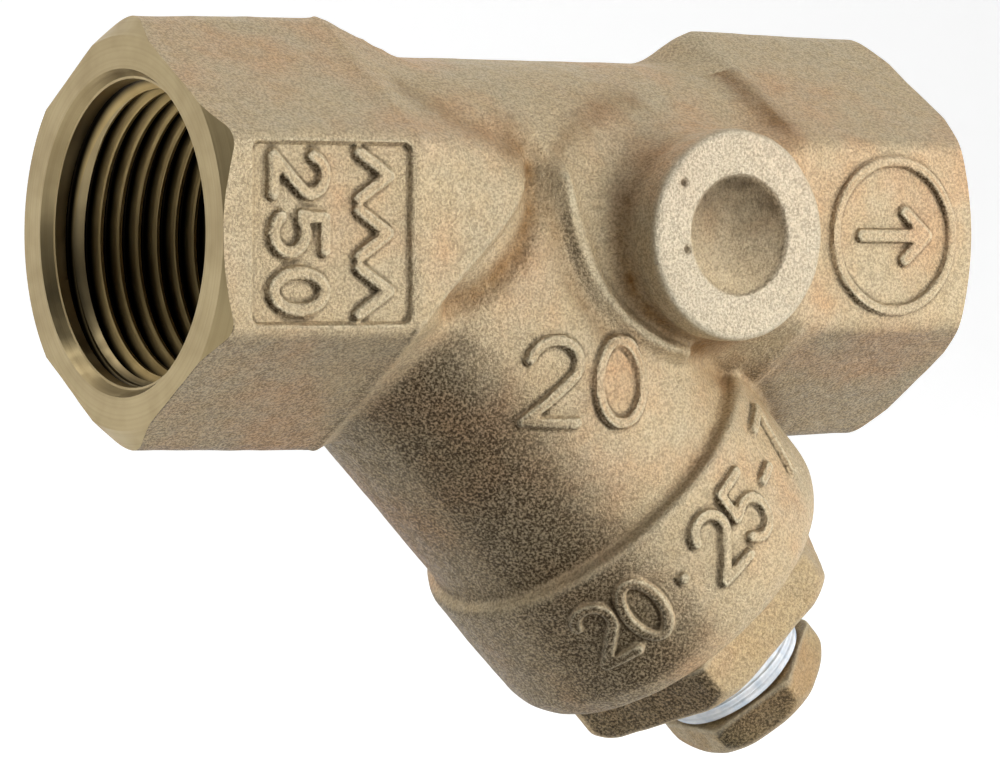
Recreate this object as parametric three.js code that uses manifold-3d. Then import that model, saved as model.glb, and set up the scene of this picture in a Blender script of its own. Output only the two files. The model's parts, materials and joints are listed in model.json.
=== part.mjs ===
// Threaded 3/4 inch Y-strainer: cast bronze body, screwed retainer cap, woven
// screen with two end bands, and a taped drain plug.  Millimetres, +Z up.
// The run lies along X and flow enters at -X.  The screen leg points down
// towards +X.  The origin is the middle of the run, on its centre line.
import * as THREE from 'three';
import { mergeVertices } from 'three/addons/utils/BufferGeometryUtils.js';
import { ConvexGeometry } from 'three/addons/geometries/ConvexGeometry.js';
import Module from 'manifold-3d';

const wasm = await Module();
wasm.setup();

// ---- run and hexagonal ends ----
const HALF_LENGTH = 38.8;
const HEX_FLAT = 16.33;         // centre line to the front and back wrench flats
const HEX_FLAT_HALF = 7.97;     // half height of those flats
const HEX_TOP = 17.96;          // height of the trimmed corners on the mould joint
const HEX_TOP_HALF = 1.15;      // half width of the trimmed corners
const HEX_INNER = 19.3;         // where the hexagons begin to close in
const HEX_NECK = 14.4;          // where they have met the run tube
const HEX_NECK_SCALE = 0.82;
const FACE_R = 16.33;           // turned outline of the end faces
const FACE_BEVEL = [18.6, 1.55];
const RUN_R = 15.2;
const SHOULDER_R = 16.4;        // ring where the inlet swells to meet the leg
const BORE_R = 10.5;            // waterway

// ---- pipe ports, 3/4 inch, 14 threads per inch ----
const PORT_PITCH = 1.814;
const PORT_MOUTH_R = 13.58;
const PORT_CREST_R = 12.05;
const PORT_ROOT_R = 13.2;
const PORT_DEPTH = 16.4;
const PORT_START = 1.9;
const TAPER = 1 / 32;

// ---- screen leg, measured along its own axis from the run's centre line ----
const LEG_ANGLE = 46 * Math.PI / 180;
const LEG_X = -12.86;
const LEG_R = 15.43;
const LEG_START = 2;
const COLLAR_R = 16.68;
const COLLAR_START = 29.4;
const LEG_END = 44.04;
const SEAT_R = 8.8;
const SEAT = [-0.5, 2.5];       // the wall between inlet and outlet
const CHAMBER_R = 10.9;
const LEDGE_R = 13.1;           // undercut that the gasket seats in
const GASKET_LEDGE = 35.3;
const CAP_PITCH = 1.5;
const CAP_THREAD_START = 37.4;
const LEG_THREAD = [12.2, 13.05]; // crest and root radius inside the leg

// ---- cast marks on the flats ----
const PANEL = [14.3, 15.4];     // sunk panel on the inlet's front flat
const PANEL_X = -28.3;
const MARK_PITCH = 4.7;
const EMBLEM_X = 29.8;          // raised ring on the outlet's front flat
const EMBLEM_R = [6.1, 6.8];

// ---- blank gauge boss on the front (-Y), beside the outlet ----
const BOSS_X = 10.6;
const BOSS_R = 9;
const BOSS_REACH = 19.5;
const DIMPLE_R = 5.3;

// ---- cap, gasket and screen ----
const CAP_FLAT = 12.55;
const CAP_TOP = 48.45;
const CAP_TURN = 34.8;          // degrees from the leg's upper side to a corner
const CAP_THREAD = [12.75, 11.9]; // crest and root radius of the spigot
const CAP_SPIGOT = 36.9;        // where the spigot ends, inside the leg
const POCKET_R = 10.6;
const POCKET_FLOOR = 42;
const HOLE_THREAD = [6.3, 6.9];
const HOLE_SINK_R = 7.25;       // countersink round the plug's hole
const GASKET_R = 12;
const GASKET_TOP = 36.6;
const SCREEN_R = 9.4;
const SCREEN_WALL = 0.5;
const SCREEN = [3.2, 41.4];
const BAND_R = 10.2;
const UPPER_BAND = [2.9, 7];
const LOWER_BAND = [37.4, 41.5];

// ---- drain plug and its tape ----
const PLUG_PITCH = 1.411;
const PLUG_THREAD = [6.6, 6];
const PLUG_START = 43.2;
const PLUG_FLAT = 7;
const PLUG_TURN = 62;
const PLUG_NECK_R = 6.2;
const PLUG_HEAD = [54.5, 58.2];
const TAPE_R = 6.85;
const TAPE_START = 48.9;

const GAP = 0.3;                // clearance between pieces that touch

const TAU = 2 * Math.PI;
const STEPS = 18;               // facets in one turn of a thread
const radians = (degrees) => degrees * Math.PI / 180;
const polar = (r, a) => [r * Math.cos(a), r * Math.sin(a)];
const v3 = (x, y, z) => new THREE.Vector3(x, y, z);
const legDir = v3(Math.cos(LEG_ANGLE), 0, -Math.sin(LEG_ANGLE));
const legUp = v3(Math.sin(LEG_ANGLE), 0, Math.cos(LEG_ANGLE));

// Each frame's local Y is the axis that lathes and threads turn about.
const frame = (x, y, z, origin = v3(0, 0, 0)) => new THREE.Matrix4().makeBasis(x, y, z).setPosition(origin);
const LEG = frame(legUp, legDir, v3(0, 1, 0), v3(LEG_X, 0, 0));
const OUTLET = frame(v3(0, 0, 1), v3(1, 0, 0), v3(0, 1, 0));
const INLET = frame(v3(0, 0, 1), v3(-1, 0, 0), v3(0, -1, 0));
const BOSS = frame(v3(1, 0, 0), v3(0, -1, 0), v3(0, 0, -1), v3(BOSS_X, 0, 0));

// ---- solids ----
function solid(geometry, matrix) {
  let g = geometry.clone();
  g.deleteAttribute('normal');
  g.deleteAttribute('uv');
  if (matrix) g.applyMatrix4(matrix);
  g = mergeVertices(g, 1e-4);
  return new wasm.Manifold(new wasm.Mesh({
    numProp: 3,
    vertProperties: new Float32Array(g.attributes.position.array),
    triVerts: new Uint32Array(g.index.array),
  }));
}

function geometryOf(manifold) {
  const mesh = manifold.getMesh();
  const g = new THREE.BufferGeometry();
  g.setAttribute('position', new THREE.BufferAttribute(new Float32Array(mesh.vertProperties), 3));
  g.setIndex(new THREE.BufferAttribute(new Uint32Array(mesh.triVerts), 1));
  g.computeVertexNormals();
  return g;
}

// A turned shape from [radius, along] pairs that start and end on the axis.
function turned(profile, matrix, segments = 36) {
  return solid(new THREE.LatheGeometry(profile.map(([r, h]) => new THREE.Vector2(r, h)), segments), matrix);
}
function rod(r, from, to, matrix, segments) {
  return turned([[0, from], [r, from], [r, to], [0, to]], matrix, segments);
}

function ring(inner, outer, from, to, matrix, segments = 36) {
  const outline = [[inner, from], [outer, from], [outer, to], [inner, to], [inner, from]];
  return turned(outline, matrix, segments);
}

function block(size, centre, matrix) {
  const g = new THREE.BoxGeometry(...size);
  g.translate(...centre);
  return solid(g, matrix);
}

// A regular hexagonal bar about local Y, its corners softened at the far end.
function hexBar(flat, from, to, turn, matrix, bevel) {
  const corner = flat / Math.cos(Math.PI / 6);
  const g = new THREE.CylinderGeometry(corner, corner, to - from, 6);
  g.rotateY(turn);
  g.translate(0, (from + to) / 2, 0);
  const far = 1.3 * flat;
  const round = turned([[0, from - 1], [far, from - 1], [far, to - bevel - (far - flat) * 0.5],
    [flat * 1.02, to - bevel * 0.75], [flat * 0.96, to], [0, to]], matrix);
  return solid(g, matrix).intersect(round);
}

// A rod threaded right-hand about local Y.  `tooth` is one pitch of its outline as
// [radius, along] pairs; its first point crosses angle zero at `phase`.
function threadedRod(tooth, pitch, phase, from, to, matrix, taper = 0) {
  const n = tooth.length;
  const first = Math.floor((from - phase) / pitch) - 1;
  const m = (Math.ceil((to - from) / pitch) + 3) * n;
  const position = [];
  for (let i = 0; i < STEPS; i++) {
    const [c, s] = polar(1, i * TAU / STEPS);
    for (let k = 0; k < m; k++) {
      const [r, h] = tooth[k % n];
      const along = phase + pitch * (first + Math.floor(k / n) + i / STEPS) + h;
      const radius = r + taper * (along - to);
      position.push(radius * c, along, -radius * s);
    }
  }
  const at = (i, k) => (i < STEPS ? i * m + k : k + n);
  const index = [];
  for (let i = 0; i < STEPS; i++) {
    for (let k = 0; k < (i < STEPS - 1 ? m : m - n) - 1; k++) {
      index.push(at(i, k), at(i + 1, k), at(i + 1, k + 1), at(i, k), at(i + 1, k + 1), at(i, k + 1));
    }
  }
  const bottom = [];
  const top = [];
  for (let i = 0; i < STEPS; i++) {
    bottom.push(at(i, 0));
    top.push(at(i, m - 1));
  }
  for (let k = n; k > 0; k--) {
    bottom.push(at(0, k));
    top.push(at(STEPS - 1, m - 1 - (n + 1 - k)));
  }
  const low = position.length / 3;
  position.push(0, phase + pitch * first, 0, 0, phase + pitch * (first + m / n), 0);
  bottom.forEach((v, j) => index.push(low, bottom[(j + 1) % bottom.length], v));
  top.forEach((v, j) => index.push(low + 1, v, top[(j + 1) % top.length]));
  const g = new THREE.BufferGeometry();
  g.setAttribute('position', new THREE.Float32BufferAttribute(position, 3));
  g.setIndex(index);
  return solid(g, matrix);
}

// ---- body casting ----
const hexSection = (x, k = 1) => [
  [HEX_FLAT, HEX_FLAT_HALF], [HEX_TOP_HALF, HEX_TOP], [-HEX_TOP_HALF, HEX_TOP],
  [-HEX_FLAT, HEX_FLAT_HALF], [-HEX_FLAT, -HEX_FLAT_HALF], [-HEX_TOP_HALF, -HEX_TOP],
  [HEX_TOP_HALF, -HEX_TOP], [HEX_FLAT, -HEX_FLAT_HALF],
].map(([y, z]) => v3(x, k * y, k * z));

function hexEnd(side, matrix) {
  const hull = solid(new ConvexGeometry([
    ...hexSection(side * HALF_LENGTH),
    ...hexSection(side * HEX_INNER),
    ...hexSection(side * HEX_NECK, HEX_NECK_SCALE),
  ]));
  const [r, back] = FACE_BEVEL;
  const turnedFace = turned([[0, 0], [r + 3, 0], [r + 3, HALF_LENGTH - back], [r, HALF_LENGTH - back],
    [FACE_R, HALF_LENGTH], [0, HALF_LENGTH]], matrix, 72);
  return hull.intersect(turnedFace);
}

function inletSwell() {
  const points = [...hexSection(-HEX_INNER)];
  for (let i = 0; i < 40; i++) {
    const [a, b] = polar(SHOULDER_R, i * TAU / 40);
    points.push(v3(a, 0.5, b).applyMatrix4(LEG));
  }
  return solid(new ConvexGeometry(points));
}

function port(matrix) {
  const inner = HALF_LENGTH - PORT_DEPTH;
  const start = HALF_LENGTH - PORT_START;
  const mouth = turned([[0, start - 0.4], [12.2, start - 0.4], [12.9, HALF_LENGTH - 1],
    [PORT_MOUTH_R, HALF_LENGTH], [PORT_MOUTH_R, HALF_LENGTH + 1], [0, HALF_LENGTH + 1]], matrix);
  const envelope = turned([[0, inner - 1], [BORE_R, inner - 1], [PORT_ROOT_R, inner + 0.4],
    [PORT_ROOT_R + 1, start], [0, start]], matrix, STEPS);
  const tooth = [[PORT_CREST_R, -0.15], [PORT_CREST_R, 0.15], [PORT_ROOT_R, PORT_PITCH / 2]];
  const thread = threadedRod(tooth, PORT_PITCH, start, inner, start, matrix, TAPER);
  return mouth.add(thread.intersect(envelope));
}

const FLAT = (x, z) => frame(v3(0, 0, -1), v3(1, 0, 0), v3(0, -1, 0), v3(x, -HEX_FLAT, z));

// A raised straight stroke on a frame whose local Z points out of the surface.
function stroke([x0, y0], [x1, y1], width, matrix, height = 0.45, sunk = 0.6) {
  const g = new THREE.BoxGeometry(Math.hypot(x1 - x0, y1 - y0) + width, width, height + sunk);
  g.rotateZ(Math.atan2(y1 - y0, x1 - x0));
  g.translate((x0 + x1) / 2, (y0 + y1) / 2, (height - sunk) / 2);
  return solid(g, matrix);
}

function polyline(points, width, matrix, height, sunk) {
  const parts = points.slice(1).map((p, i) => stroke(points[i], p, width, matrix, height, sunk));
  return parts.reduce((a, b) => a.add(b));
}

// Plain digits drawn on a grid one wide and two high.
const DIGITS = {
  0: [[0, 0], [1, 0], [1, 2], [0, 2], [0, 0]],
  2: [[0, 2], [1, 2], [1, 1], [0, 1], [0, 0], [1, 0]],
  5: [[1, 2], [0, 2], [0, 1], [1, 1], [1, 0], [0, 0]],
  7: [[0, 2], [1, 2], [0.4, 0]],
  '-': [[0, 1], [1, 1]],
  '.': [[0.45, 1], [0.55, 1]],
};
function digit(key, width, height, matrix, relief, sunk) {
  const points = DIGITS[key].map(([x, y]) => [(x - 0.5) * width, (y - 1) * height / 2]);
  return polyline(points, height * 0.16, matrix, relief, sunk);
}

function panelMarks() {
  const recess = block([...PANEL, 1], [0, 0, 0], FLAT(PANEL_X, -0.1));
  const marks = [];
  ['2', '5', '0'].forEach((key, i) => {
    marks.push(digit(key, 3, 4.6, FLAT(PANEL_X - 3.4, MARK_PITCH * (1 - i)), 0, 0.8));
  });
  for (let i = -1; i <= 1; i++) {
    const at = FLAT(PANEL_X + 3.6, MARK_PITCH * i);
    marks.push(polyline([[-1.6, -1.9], [0, 1.9], [1.6, -1.9]], 0.75, at, 0, 0.8));
  }
  return { recess, marks };
}

function emblem() {
  const at = FLAT(EMBLEM_X, 0);
  const disc = frame(v3(0, 0, -1), v3(0, -1, 0), v3(-1, 0, 0), v3(EMBLEM_X, -HEX_FLAT, 0));
  const arrow = polyline([[-1.6, 1.6], [0, 3.6], [1.6, 1.6]], 0.8, at)
    .add(stroke([0, -3.4], [0, 3.2], 0.8, at));
  return ring(...EMBLEM_R, -0.5, 0.45, disc, 24).add(arrow);
}

// A frame on the leg's surface, turned `around` from the front (-Y).
function onLeg(along, around, radius, upright = 0) {
  const out = v3(0, -Math.cos(around), 0).addScaledVector(legUp, Math.sin(around));
  const right = v3(0, Math.sin(around), 0).addScaledVector(legUp, Math.cos(around));
  const up = legDir.clone().negate();
  const origin = v3(LEG_X, 0, 0).addScaledVector(legDir, along).addScaledVector(out, radius);
  return frame(right, up, out, origin).multiply(new THREE.Matrix4().makeRotationZ(upright));
}

function legMarks() {
  const size = [['2', 13.4, -0.29], ['0', 17.6, 0.0]]
    .map(([key, along, around]) => digit(key, 3.2, 6.4, onLeg(along, around, LEG_R, -LEG_ANGLE + 0.1), 0.4, 1));
  const band = ['2', '0', '.', '2', '5', '-', '7']
    .map((key, i) => digit(key, 2.3, 6, onLeg(36.2, -0.84 + 0.235 * i, COLLAR_R), 0.4, 0.8));
  return [...size, ...band];
}

function strainerBody() {
  const leg = turned([[0, LEG_START], [LEG_R, LEG_START], [LEG_R, COLLAR_START - 0.8], [COLLAR_R, COLLAR_START],
    [COLLAR_R, LEG_END - 3], [COLLAR_R - 0.5, LEG_END - 1.5], [COLLAR_R - 1.2, LEG_END - 0.5],
    [COLLAR_R - 2, LEG_END], [0, LEG_END]], LEG);
  const boss = turned([[0, 4], [13.4, 6], [12.4, 9.5], [10.6, 12.5], [9.4, 15], [BOSS_R - 0.2, 17],
    [BOSS_R, 18.3], [BOSS_R - 0.3, 19.1], [BOSS_R - 1, BOSS_REACH], [DIMPLE_R, BOSS_REACH],
    [2, BOSS_REACH - 0.9], [0, BOSS_REACH - 1]], BOSS);
  const { recess, marks } = panelMarks();
  let outside = hexEnd(-1, INLET).add(hexEnd(1, OUTLET))
    .add(rod(RUN_R, -HEX_INNER, HEX_INNER, OUTLET))
    .add(inletSwell()).add(leg).add(boss)
    .subtract(recess).add(emblem());
  for (const mark of [...marks, ...legMarks()]) outside = outside.add(mark);

  const bore = rod(BORE_R, -HALF_LENGTH - 1, HALF_LENGTH + 1, OUTLET);
  const inletSide = block([120, 80, 80], [0, SEAT[0] - 40, 0], LEG);
  const outletSide = block([120, 80, 80], [0, SEAT[1] + 40, 0], LEG);
  const [crest, root] = LEG_THREAD;
  const chamber = turned([[0, SEAT[1]], [CHAMBER_R, SEAT[1]], [CHAMBER_R, GASKET_LEDGE],
    [LEDGE_R, GASKET_LEDGE], [LEDGE_R, CAP_THREAD_START], [0, CAP_THREAD_START]], LEG, STEPS);
  const chamfer = turned([[0, LEG_END - 1], [crest, LEG_END - 1], [crest + 1, LEG_END],
    [crest + 1, LEG_END + 1], [0, LEG_END + 1]], LEG, STEPS);
  const thread = threadedRod([[crest, -0.2], [crest, 0.2], [root, CAP_PITCH / 2]], CAP_PITCH, LEG_END,
    CAP_THREAD_START - 0.5, LEG_END + 0.5, LEG)
    .intersect(rod(root + 1, CAP_THREAD_START - 0.4, LEG_END, LEG, STEPS));
  return outside
    .subtract(bore.intersect(inletSide)).subtract(bore.intersect(outletSide))
    .subtract(rod(SEAT_R, -4, 4, LEG)).subtract(chamber).subtract(thread).subtract(chamfer)
    .subtract(port(INLET)).subtract(port(OUTLET));
}

// ---- retainer cap ----
function retainerCap() {
  const [crest, root] = CAP_THREAD;
  const chamfer = crest - root;
  const envelope = turned([[0, CAP_SPIGOT], [root, CAP_SPIGOT], [crest, CAP_SPIGOT + chamfer],
    [crest, LEG_END - chamfer], [root, LEG_END], [root, LEG_END + 1], [0, LEG_END + 1]], LEG, STEPS);
  const spigot = threadedRod([[root, -0.35], [root, 0.35], [crest, CAP_PITCH / 2]], CAP_PITCH, LEG_END,
    CAP_SPIGOT - 1, LEG_END + 2, LEG).intersect(envelope);
  const pocket = rod(POCKET_R, CAP_SPIGOT - 1, POCKET_FLOOR, LEG, STEPS);
  const [holeCrest, holeRoot] = HOLE_THREAD;
  const holeTooth = [[holeCrest, -0.16], [holeCrest, 0.16], [holeRoot, PLUG_PITCH / 2]];
  const hole = threadedRod(holeTooth, PLUG_PITCH, CAP_TOP, POCKET_FLOOR - 1, CAP_TOP + 1, LEG)
    .intersect(rod(holeRoot + 1, POCKET_FLOOR - 1, CAP_TOP + 1, LEG, STEPS));
  const sink = turned([[0, CAP_TOP - 1], [holeCrest, CAP_TOP - 1], [HOLE_SINK_R, CAP_TOP],
    [HOLE_SINK_R, CAP_TOP + 1], [0, CAP_TOP + 1]], LEG, STEPS);
  return spigot.add(hexBar(CAP_FLAT, LEG_END + GAP, CAP_TOP, radians(CAP_TURN), LEG, 1.2))
    .subtract(pocket).subtract(hole).subtract(sink);
}

// ---- drain plug ----
function drainPlug() {
  const [crest, root] = PLUG_THREAD;
  const end = CAP_TOP + GAP;
  const chamfer = crest - root;
  const envelope = turned([[0, PLUG_START], [root, PLUG_START], [crest, PLUG_START + chamfer],
    [crest, end - chamfer], [root, end], [0, end]], LEG, STEPS);
  const thread = threadedRod([[root, -0.32], [root, 0.32], [crest, PLUG_PITCH / 2]], PLUG_PITCH, CAP_TOP,
    PLUG_START - 1, end + 1, LEG).intersect(envelope);
  const neck = rod(PLUG_NECK_R, end - GAP, PLUG_HEAD[0] + 1, LEG, STEPS);
  return thread.add(neck).add(hexBar(PLUG_FLAT, ...PLUG_HEAD, radians(PLUG_TURN), LEG, 0.9));
}

// ---- screen: an open cage standing for the woven mesh ----
function screen() {
  const rows = 5;
  const columns = 6;            // windows cut right through, so twelve round the cage
  const window = [3.4, 4.6];
  let cage = ring(SCREEN_R - SCREEN_WALL, SCREEN_R, ...SCREEN, LEG, 2 * columns);
  for (let row = 0; row < rows; row++) {
    for (let i = 0; i < columns; i++) {
      const g = new THREE.BoxGeometry(...window, 4 * SCREEN_R);
      g.rotateY((i + 0.5) * Math.PI / columns);
      g.translate(0, UPPER_BAND[1] + 3.2 + row * 6, 0);
      cage = cage.subtract(solid(g, LEG));
    }
  }
  return cage;
}

// ---- assembly ----
const BRONZE = { color: 0xb59a6c, roughness: 0.55, metalness: 0.85 };
const CAP_BRONZE = { color: 0xa8906a, roughness: 0.6, metalness: 0.85 };
const PLUG_BRONZE = { color: 0x9d8763, roughness: 0.55, metalness: 0.85 };
const STEEL = { color: 0xb4b6b8, roughness: 0.35, metalness: 1 };
const PTFE = { color: 0xe9ecee, roughness: 0.7, metalness: 0 };

const strainer = new THREE.Group();
function piece(name, manifold, look) {
  const mesh = new THREE.Mesh(geometryOf(manifold), new THREE.MeshStandardMaterial(look));
  mesh.name = name;
  strainer.add(mesh);
}

piece('strainer_body', strainerBody(), BRONZE);
piece('retainer_cap', retainerCap(), CAP_BRONZE);
piece('cap_gasket', ring(POCKET_R, GASKET_R, GASKET_LEDGE + GAP, GASKET_TOP, LEG), PTFE);
piece('screen_mesh', screen(), STEEL);
piece('screen_upper_band', ring(SCREEN_R + GAP, BAND_R, ...UPPER_BAND, LEG), STEEL);
piece('screen_lower_band', ring(SCREEN_R + GAP, BAND_R, ...LOWER_BAND, LEG), STEEL);
piece('drain_plug', drainPlug(), PLUG_BRONZE);
piece('plug_seal_tape', ring(PLUG_NECK_R + GAP, TAPE_R, TAPE_START, PLUG_HEAD[0] - GAP, LEG, 32), PTFE);

export default strainer;
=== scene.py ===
"""The looks of a 3/4 inch cast bronze Y-strainer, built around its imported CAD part.

Castings are sculpted as distance fields and meshed with OpenVDB, then their machined
faces, bores and threads are cut with booleans.  Sizes are millimetres until a mesh is made.
"""
import json
import math

import bmesh
import bpy
import numpy as np
import openvdb as vdb
from mathutils import Matrix, Vector


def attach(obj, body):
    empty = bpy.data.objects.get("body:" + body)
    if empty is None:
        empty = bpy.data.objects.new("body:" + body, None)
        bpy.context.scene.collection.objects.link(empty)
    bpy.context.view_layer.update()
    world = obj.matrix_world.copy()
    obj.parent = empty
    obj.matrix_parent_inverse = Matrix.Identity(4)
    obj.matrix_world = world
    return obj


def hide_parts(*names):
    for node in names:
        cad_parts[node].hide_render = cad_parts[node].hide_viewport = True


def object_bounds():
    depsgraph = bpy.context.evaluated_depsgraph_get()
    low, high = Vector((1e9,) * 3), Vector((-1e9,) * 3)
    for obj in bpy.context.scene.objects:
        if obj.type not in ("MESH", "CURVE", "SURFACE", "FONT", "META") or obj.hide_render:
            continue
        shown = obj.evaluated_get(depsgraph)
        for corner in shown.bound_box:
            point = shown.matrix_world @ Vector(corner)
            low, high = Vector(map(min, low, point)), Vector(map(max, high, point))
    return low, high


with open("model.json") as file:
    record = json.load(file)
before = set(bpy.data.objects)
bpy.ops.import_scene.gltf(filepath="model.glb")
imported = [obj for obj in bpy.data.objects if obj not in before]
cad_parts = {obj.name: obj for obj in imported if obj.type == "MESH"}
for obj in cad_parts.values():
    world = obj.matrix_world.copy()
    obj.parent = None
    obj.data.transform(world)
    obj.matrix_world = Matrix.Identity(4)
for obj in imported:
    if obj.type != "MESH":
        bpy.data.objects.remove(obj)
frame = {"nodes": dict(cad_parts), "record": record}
CAD_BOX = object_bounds()
RECORD = frame["record"]
MM = 0.001
TAU = 2 * math.pi

# ------------------------------------ driving dimensions
HALF = CAD_BOX[1].x / MM                    # half the length, end face to end face
JOINTS = {j["name"]: j for j in RECORD["behaviour"]["joints"]}
MOUNTS = {m["name"]: m for m in RECORD["mounts"]}
LEG_DIR = np.array(JOINTS["cap_turn"]["axis"])
LEG_UP = np.array([-LEG_DIR[2], 0, LEG_DIR[0]])
_pivot = np.array(JOINTS["cap_turn"]["pos_m"]) / MM
LEG_X = _pivot[0] - _pivot[2] / LEG_DIR[2] * LEG_DIR[0]
BOSS_X, BOSS_Y = (MOUNTS["boss_face"]["pos_m"][0] / MM, MOUNTS["boss_face"]["pos_m"][1] / MM)
HEX_FLAT = MOUNTS["inlet_wrench_flat"]["pos_m"][1] / MM

HEX_TOP, HEX_DRAFT = 17.96, 0.021           # trimmed corners, rising away from the face
HEX_SLOPE = math.radians(33.3)              # the sloping flats carry mould draft
HEX_SLOPE_R = 15.63
HEX_INNER = 19.9                            # where the hexagons begin to close in
HEX_CORNER_K, HEX_TRIM_K = 1.1, 0.7         # rounding between neighbouring flats
HEX_CLOSE = (0.30, 0.045)                   # closing in, per millimetre and per its square
RUN_R = 15.2
SHOULDER_R = 16.5                           # the swell's ring on the leg
SWELL_TOP, SWELL_FALL = 18.35, 0.5545       # the swell's top falls away behind the hexagon
BORE_R = 10.5
LEG_R = 15.43
BARREL_START, BARREL_END = 1, 32
COLLAR_R = 16.68
COLLAR_START = 29.4
COLLAR_END_ROUND, COLLAR_END_DROP = 3.4, 1.5
COLLAR_EDGE_K = 0.9
LEG_END = 44.04
HEX_FILLET, SWELL_FILLET, LEG_FILLET, COLLAR_FILLET = 1.4, 0.5, 1.2, 0.9
SEAT_LOW, SEAT_HIGH, SEAT_R, SEAT_REACH = 2.5, -0.5, 8.8, 4
CHAMBER_R = 10.9
LEDGE = 35.3
BOSS_R = 9.0
BOSS_FILLET = 3.6
BOSS_FOOT, BOSS_DISC, BOSS_STEP = 4, 16.4, 0.2    # a stem, then a slightly wider disc
BOSS_PITS = ((-5.9, 4.4), (-5.5, -1.2))     # two casting pits in the boss's face
PIT_R = 0.42
DIMPLE_R, DIMPLE_STEP, DIMPLE_CONE = 5.3, 0.3, 0.75
PORT_PITCH = 1.814
PORT_CREST_R, PORT_ROOT_R = 12.05, 13.2
PORT_DEPTH, PORT_START = 16.4, 1.9
PORT_MOUTH = 2.7
TAPER = 1 / 32
CAP_PITCH, PLUG_PITCH = 1.5, 1.411
CAP_START, CAP_TOP, CAP_FLAT = 44.34, 49.05, 12.55
CAP_CORNER_R = 14.45
CAP_TURN = math.radians(-4.8)               # where a corner lies, round the leg from its top
LEG_CREST_R, LEG_ROOT_R = 12.2, 13.0
SPIGOT_CREST_R, SPIGOT_ROOT_R, SPIGOT_START = 12.7, 11.9, 36.9
HOLE_CREST_R, HOLE_ROOT_R, HOLE_SINK_R = 6.3, 6.9, 7.5
HEAD_START, HEAD_END, HEAD_FLAT = 54.5, 58.2, 7.0
HEAD_CORNER_R = 8.05
HEAD_TURN = math.radians(-32)
NECK_R = 6.2
PLUG_CREST_R, PLUG_ROOT_R, PLUG_START = 6.6, 6.0, 43.2
TAPE_INNER_R, TAPE_R, TAPE_TURNS = 6.5, 6.86, 7
SCREEN_R = 9.15
WIRE_R, WEAVE = 0.2, 0.2
BAND_INNER_R, BAND_R = 9.7, 10.15
GASKET_INNER_R, GASKET_R = 10.62, 12
LEG_MARK_HEIGHT, COLLAR_MARK_HEIGHT = 7.0, 5.9
MARK_WIDTH, MARK_RELIEF = 0.75, 0.5
LEG_MARK_PITCH, COLLAR_MARK_PITCH = 6.6, 0.255    # millimetres apart, and radians apart
PAINTED_SHADE_SIDE = np.array([-0.567, -0.616, -0.547])    # painted shade: vertices facing this way get a dark band painted down the leg
SHADED_UNDER_SIDE = np.array([-0.6, 0.1, -0.79])          # painted shade, fainter: vertices facing down this way are painted darker


# ------------------------------------ distance fields
def union(a, b, k):
    """Joins two fields with a fillet about k wide."""
    h = np.maximum(k - np.abs(a - b), 0)
    return np.minimum(a, b) - h * h / (4 * k)


def both(a, b, k):
    """Keeps what is inside two fields, with a round about k wide."""
    return -union(-a, -b, k)


def leg_frame(x, z):
    """How far along the leg a point is, and how far above its axis."""
    along = (x - LEG_X) * LEG_DIR[0] + z * LEG_DIR[2]
    above = (x - LEG_X) * LEG_UP[0] + z * LEG_UP[2]
    return along, above


class Field:
    """A box of samples `step` apart, holding one solid's distance field."""

    def __init__(self, low, high, step):
        self.low, self.step = np.array(low, float), step
        axes = [np.arange(a, b + step, step, dtype=np.float32) for a, b in zip(low, high)]
        self.x, self.y, self.z = np.meshgrid(*axes, indexing="ij", sparse=True)
        self.shape = tuple(len(a) for a in axes)

    def noise(self, cell, seed):
        """Smooth random values, about -1 to 1, with features `cell` millimetres wide."""
        rng = np.random.default_rng(seed)
        cells = [int(math.ceil(n * self.step / cell)) + 2 for n in self.shape]
        values = rng.uniform(-1, 1, cells).astype(np.float32)
        for axis, count in enumerate(self.shape):
            t = np.arange(count) * self.step / cell
            i = t.astype(int)
            w = (t - i).astype(np.float32)
            w = (w * w * (3 - 2 * w)).reshape([-1 if a == axis else 1 for a in range(3)])
            values = np.take(values, i, axis) * (1 - w) + np.take(values, i + 1, axis) * w
        return values

    def refine(self, coarse, values):
        """Values of a coarser field, read off by linear steps at this field's points."""
        for axis, count in enumerate(self.shape):
            t = (self.low[axis] + np.arange(count) * self.step - coarse.low[axis]) / coarse.step
            i = np.clip(t.astype(int), 0, coarse.shape[axis] - 2)
            w = (t - i).astype(np.float32).reshape([-1 if a == axis else 1 for a in range(3)])
            values = np.take(values, i, axis) * (1 - w) + np.take(values, i + 1, axis) * w
        return values

    def mesh(self, name, values, material):
        band = 3 * self.step
        grid = vdb.FloatGrid(band)
        grid.copyFromArray(np.clip(values, -band, band).astype(np.float32))
        points, quads = grid.convertToQuads(isovalue=0.0)
        return mesh_object(name, (self.low + points * self.step) * MM, quads, material)

    def sample(self, values, points):
        """Values at points given in millimetres, by trilinear interpolation."""
        t = (points - self.low) / self.step
        top = np.array(self.shape) - 2
        i = np.clip(t.astype(int), 0, top)
        w = np.clip(t - i, 0, 1)
        out = 0
        for dx in (0, 1):
            for dy in (0, 1):
                for dz in (0, 1):
                    share = np.abs(1 - dx - w[:, 0]) * np.abs(1 - dy - w[:, 1]) * np.abs(1 - dz - w[:, 2])
                    out = out + share * values[i[:, 0] + dx, i[:, 1] + dy, i[:, 2] + dz]
        return out


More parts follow.
